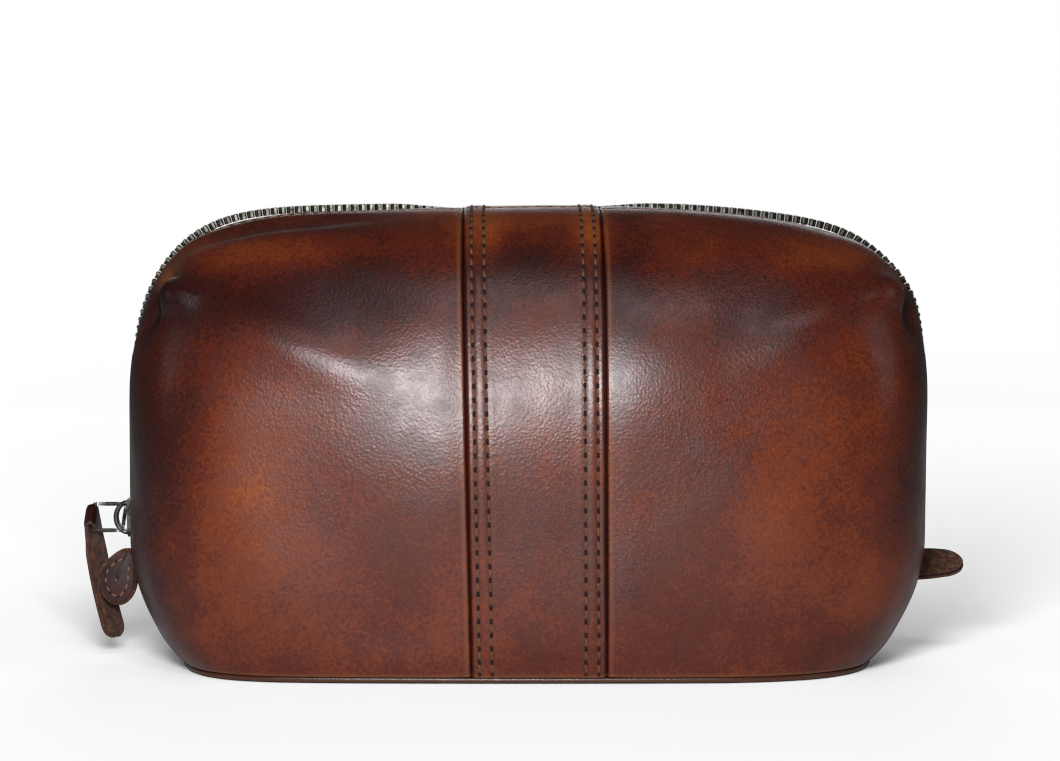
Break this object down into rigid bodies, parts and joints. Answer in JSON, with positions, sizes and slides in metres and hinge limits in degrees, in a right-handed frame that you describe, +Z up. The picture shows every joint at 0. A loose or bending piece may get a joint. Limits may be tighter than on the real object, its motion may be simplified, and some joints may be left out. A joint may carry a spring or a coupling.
{
  "type": "shaving kit bag",
  "caption": "Leather wash bag with a dome-shaped body, a seamed centre panel, a metal zip along the top and down both ends, a strap pull on the slider and a leather tab at each zip end.",
  "frame": {"origin": "middle of the base's underside", "axes": "+X along the zip from the slider's end to the other end, -Y out of the front, +Z up"},
  "size_m": [0.2941, 0.116, 0.1499],
  "materials": {
    "oiled_leather": "satin",
    "tab_leather": "matte",
    "antique_steel": "satin",
    "nickel_teeth": "satin",
    "zip_tape_cloth": "matte",
    "lining_cloth": "matte",
    "stiffener_board": "matte"
  },
  "bodies": {
    "bag_base": {"base_panel": "oiled_leather", "base_board": "stiffener_board", "lining_basin": "lining_cloth", "front_lower_left": "oiled_leather", "front_lower_centre": "oiled_leather", "front_lower_right": "oiled_leather", "back_lower_left": "oiled_leather", "back_lower_centre": "oiled_leather", "back_lower_right": "oiled_leather", "left_end_stop": "antique_steel", "right_end_stop": "antique_steel"},
    "front_half": {"front_left_panel": "oiled_leather", "front_centre_panel": "oiled_leather", "front_right_panel": "oiled_leather", "front_zip_tape": "zip_tape_cloth", "front_zip_teeth": "nickel_teeth", "front_lining": "lining_cloth"},
    "back_half": {"back_left_panel": "oiled_leather", "back_centre_panel": "oiled_leather", "back_right_panel": "oiled_leather", "back_zip_tape": "zip_tape_cloth", "back_zip_teeth": "nickel_teeth", "back_lining": "lining_cloth"},
    "slider": {"slider_body": "antique_steel", "slider_crown": "antique_steel"},
    "loop": {"pull_loop": "antique_steel"},
    "strap": {"pull_strap": "tab_leather"},
    "left_tab": {"left_tab_face": "tab_leather", "left_tab_back": "tab_leather"},
    "right_tab": {"right_tab_upper": "tab_leather", "right_tab_lower": "tab_leather"}
  },
  "joints": [
    {"name": "front_half_lean", "type": "hinge", "parent": "bag_base", "child": "front_half", "pos_m": [0, 0, 0.036], "axis": [1, 0, 0], "range_deg": [0, 15]},
    {"name": "back_half_lean", "type": "hinge", "parent": "bag_base", "child": "back_half", "pos_m": [0, 0, 0.036], "axis": [1, 0, 0], "range_deg": [-15, 0]},
    {"name": "slider_slide", "type": "slide", "parent": "bag_base", "child": "slider", "axis": [0.0157, 0, 0.9999], "range_m": [0, 0.03]},
    {"name": "loop_swing", "type": "hinge", "parent": "slider", "child": "loop", "pos_m": [-0.13479, 0, 0.0463], "axis": [0, 0.7431, 0.6691], "range_deg": [-5, 70]},
    {"name": "strap_swing", "type": "hinge", "parent": "loop", "child": "strap", "pos_m": [-0.14579, 0, 0.0463], "axis": [0, 0.7431, 0.6691], "range_deg": [-5, 60]},
    {"name": "left_tab_flex", "type": "hinge", "parent": "bag_base", "child": "left_tab", "pos_m": [-0.13228, -0.008, 0.02759], "axis": [0, 0, 1], "range_deg": [0, 18], "stiffness_Nm_per_rad": 0.02},
    {"name": "right_tab_flex", "type": "hinge", "parent": "bag_base", "child": "right_tab", "pos_m": [0.132, 0, 0.0304], "axis": [0, -0.766, -0.6428], "range_deg": [-30, 30], "stiffness_Nm_per_rad": 0.02}
  ],
  "couplings": [
    {"joint": "back_half_lean", "follows": "front_half_lean", "ratio": -1}
  ]
}
